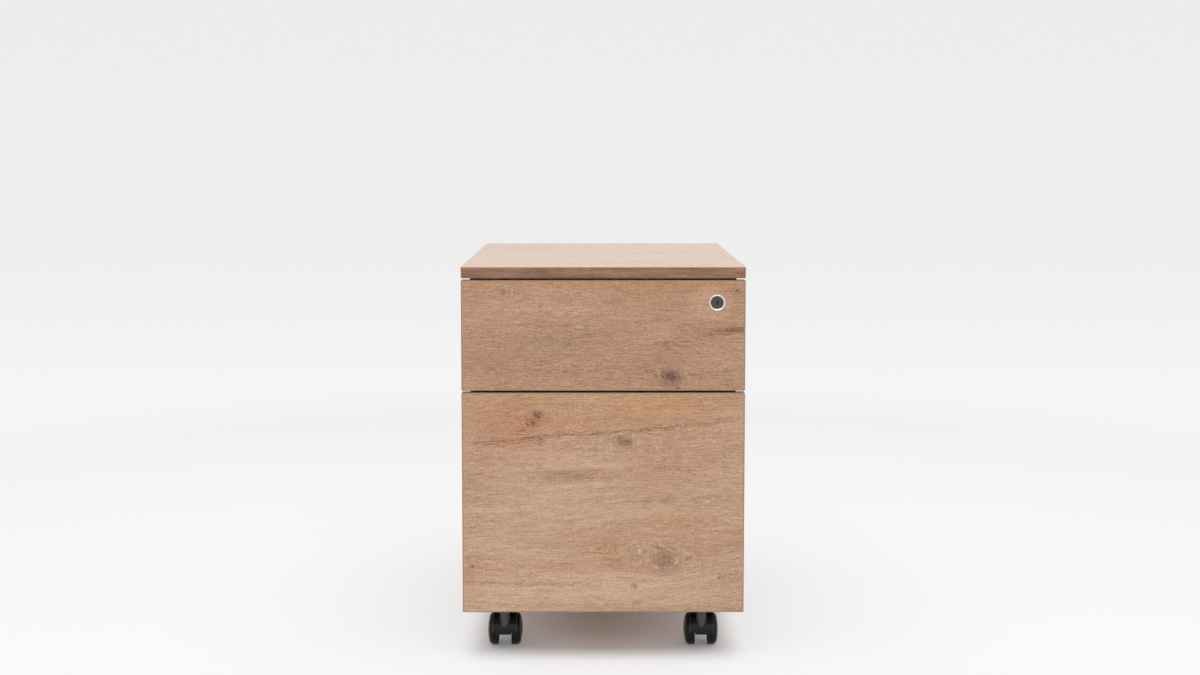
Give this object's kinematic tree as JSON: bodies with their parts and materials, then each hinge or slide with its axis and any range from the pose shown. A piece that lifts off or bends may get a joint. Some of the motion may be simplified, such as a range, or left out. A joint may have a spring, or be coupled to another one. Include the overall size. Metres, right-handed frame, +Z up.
{
  "type": "rolling pedestal cabinet",
  "caption": "Handleless wood-decor office pedestal on twin-wheel casters, with a shallow drawer over a hanging-file drawer, locked together by one lock.",
  "frame": {"origin": "on the floor, under the middle of the object's box", "axes": "+Z up, -Y out of the drawer fronts, +X to the right of a person who faces the fronts"},
  "size_m": [0.43, 0.6012, 0.6],
  "materials": {
    "wood_decor": "laminate with a printed oak grain, matt",
    "wood_band": "edge band printed to match the laminate",
    "beech": "plain turned beech",
    "drawer_sheet": "powder coated sheet steel, silver grey, fine texture",
    "zinc_steel": "bright zinc plated",
    "screw_steel": "zinc plated",
    "nickel": "satin nickel plated",
    "lock_core_metal": "nickel plated, darkened",
    "cam_zinc": "die-cast zinc",
    "caster_plastic": "black nylon, satin",
    "wheel_plastic": "black nylon, slightly glossy",
    "tray_plastic": "black polystyrene, fine texture",
    "guide_plastic": "dark grey nylon",
    "caster_steel": "zinc plated"
  },
  "bodies": {
    "cabinet": {"top_panel": "wood_decor", "top_edge_bands": "wood_band", "side_panel_left": "wood_decor", "side_panel_right": "wood_decor", "bottom_panel": "wood_decor", "back_panel": "wood_decor", "top_traverses": "wood_decor", "carcass_edge_bands": "wood_band", "cam_connectors": "cam_zinc", "dowels": "beech", "carcass_screws": "screw_steel", "side_screws": "screw_steel", "top_slide_cabinet_members": "zinc_steel", "file_slide_cabinet_members": "zinc_steel", "locking_bar_guides": "guide_plastic", "caster_plates": "caster_steel", "caster_stems": "caster_steel"},
    "top_drawer": {"top_drawer_front": "wood_decor", "top_front_edge_bands": "wood_band", "top_drawer_sides": "drawer_sheet", "top_drawer_base": "drawer_sheet", "top_drawer_inner_front": "drawer_sheet", "top_drawer_back": "drawer_sheet", "top_front_screws": "screw_steel", "pencil_tray": "tray_plastic", "lock_housing": "nickel", "top_lock_catch": "guide_plastic", "top_slide_drawer_members": "zinc_steel"},
    "top_cages": {"top_ball_cages": "zinc_steel"},
    "lock_core": {"lock_core": "lock_core_metal"},
    "locking_bar": {"locking_bar": "zinc_steel", "locking_pins": "zinc_steel"},
    "file_drawer": {"file_drawer_front": "wood_decor", "file_front_edge_bands": "wood_band", "file_drawer_sides": "drawer_sheet", "file_drawer_base": "drawer_sheet", "file_drawer_inner_front": "drawer_sheet", "file_drawer_back": "drawer_sheet", "file_front_screws": "screw_steel", "file_lock_catch": "guide_plastic", "file_slide_drawer_members": "zinc_steel"},
    "file_middle_members": {"file_slide_middle_members": "zinc_steel"},
    "file_outer_cages": {"file_outer_ball_cages": "zinc_steel"},
    "file_inner_cages": {"file_inner_ball_cages": "zinc_steel"},
    "caster_front_left": {"caster_hood_front_left": "caster_plastic", "caster_axle_front_left": "caster_steel"},
    "wheel_front_left_l": {"wheel_front_left_l": "wheel_plastic"},
    "wheel_front_left_r": {"wheel_front_left_r": "wheel_plastic"},
    "caster_front_right": {"caster_hood_front_right": "caster_plastic", "caster_axle_front_right": "caster_steel"},
    "wheel_front_right_l": {"wheel_front_right_l": "wheel_plastic"},
    "wheel_front_right_r": {"wheel_front_right_r": "wheel_plastic"},
    "caster_rear_left": {"caster_hood_rear_left": "caster_plastic", "caster_axle_rear_left": "caster_steel"},
    "wheel_rear_left_l": {"wheel_rear_left_l": "wheel_plastic"},
    "wheel_rear_left_r": {"wheel_rear_left_r": "wheel_plastic"},
    "caster_rear_right": {"caster_hood_rear_right": "caster_plastic", "caster_axle_rear_right": "caster_steel"},
    "wheel_rear_right_l": {"wheel_rear_right_l": "wheel_plastic"},
    "wheel_rear_right_r": {"wheel_rear_right_r": "wheel_plastic"}
  },
  "joints": [
    {"name": "top_drawer_slide", "type": "slide", "parent": "cabinet", "child": "top_drawer", "axis": [0, -1, 0], "range_m": [0, 0.375]},
    {"name": "file_drawer_slide", "type": "slide", "parent": "cabinet", "child": "file_drawer", "axis": [0, -1, 0], "range_m": [0, 0.5]},
    {"name": "lock_turn", "type": "hinge", "parent": "top_drawer", "child": "lock_core", "pos_m": [0.172, -0.2994, 0.545], "axis": [0, -1, 0], "range_deg": [0, 90]},
    {"name": "locking_bar_lift", "type": "slide", "parent": "cabinet", "child": "locking_bar", "axis": [0, 0, 1], "range_m": [0, 0.0086]},
    {"name": "top_cage_roll", "type": "slide", "parent": "cabinet", "child": "top_cages", "axis": [0, -1, 0], "range_m": [0, 0.1875]},
    {"name": "file_middle_slide", "type": "slide", "parent": "cabinet", "child": "file_middle_members", "axis": [0, -1, 0], "range_m": [0, 0.25]},
    {"name": "file_outer_cage_roll", "type": "slide", "parent": "cabinet", "child": "file_outer_cages", "axis": [0, -1, 0], "range_m": [0, 0.125]},
    {"name": "file_inner_cage_roll", "type": "slide", "parent": "cabinet", "child": "file_inner_cages", "axis": [0, -1, 0], "range_m": [0, 0.375]},
    {"name": "swivel_front_left", "type": "hinge", "parent": "cabinet", "child": "caster_front_left", "pos_m": [-0.1535, -0.2504, 0.0606], "axis": [0, 0, 1], "continuous": true},
    {"name": "roll_front_left_l", "type": "hinge", "parent": "caster_front_left", "child": "wheel_front_left_l", "pos_m": [-0.1535, -0.2324, 0.025], "axis": [1, 0, 0], "continuous": true},
    {"name": "roll_front_left_r", "type": "hinge", "parent": "caster_front_left", "child": "wheel_front_left_r", "pos_m": [-0.1535, -0.2324, 0.025], "axis": [1, 0, 0], "continuous": true},
    {"name": "swivel_front_right", "type": "hinge", "parent": "cabinet", "child": "caster_front_right", "pos_m": [0.1535, -0.2504, 0.0606], "axis": [0, 0, 1], "continuous": true},
    {"name": "roll_front_right_l", "type": "hinge", "parent": "caster_front_right", "child": "wheel_front_right_l", "pos_m": [0.1535, -0.2324, 0.025], "axis": [1, 0, 0], "continuous": true},
    {"name": "roll_front_right_r", "type": "hinge", "parent": "caster_front_right", "child": "wheel_front_right_r", "pos_m": [0.1535, -0.2324, 0.025], "axis": [1, 0, 0], "continuous": true},
    {"name": "swivel_rear_left", "type": "hinge", "parent": "cabinet", "child": "caster_rear_left", "pos_m": [-0.1535, 0.2406, 0.0606], "axis": [0, 0, 1], "continuous": true},
    {"name": "roll_rear_left_l", "type": "hinge", "parent": "caster_rear_left", "child": "wheel_rear_left_l", "pos_m": [-0.1535, 0.2586, 0.025], "axis": [1, 0, 0], "continuous": true},
    {"name": "roll_rear_left_r", "type": "hinge", "parent": "caster_rear_left", "child": "wheel_rear_left_r", "pos_m": [-0.1535, 0.2586, 0.025], "axis": [1, 0, 0], "continuous": true},
    {"name": "swivel_rear_right", "type": "hinge", "parent": "cabinet", "child": "caster_rear_right", "pos_m": [0.1535, 0.2406, 0.0606], "axis": [0, 0, 1], "continuous": true},
    {"name": "roll_rear_right_l", "type": "hinge", "parent": "caster_rear_right", "child": "wheel_rear_right_l", "pos_m": [0.1535, 0.2586, 0.025], "axis": [1, 0, 0], "continuous": true},
    {"name": "roll_rear_right_r", "type": "hinge", "parent": "caster_rear_right", "child": "wheel_rear_right_r", "pos_m": [0.1535, 0.2586, 0.025], "axis": [1, 0, 0], "continuous": true}
  ],
  "couplings": [
    {"joint": "locking_bar_lift", "follows": "lock_turn", "m_per_rad": 0.0054019},
    {"joint": "top_cage_roll", "follows": "top_drawer_slide", "ratio": 0.5},
    {"joint": "file_middle_slide", "follows": "file_drawer_slide", "ratio": 0.5},
    {"joint": "file_outer_cage_roll", "follows": "file_drawer_slide", "ratio": 0.25},
    {"joint": "file_inner_cage_roll", "follows": "file_drawer_slide", "ratio": 0.75}
  ]
}
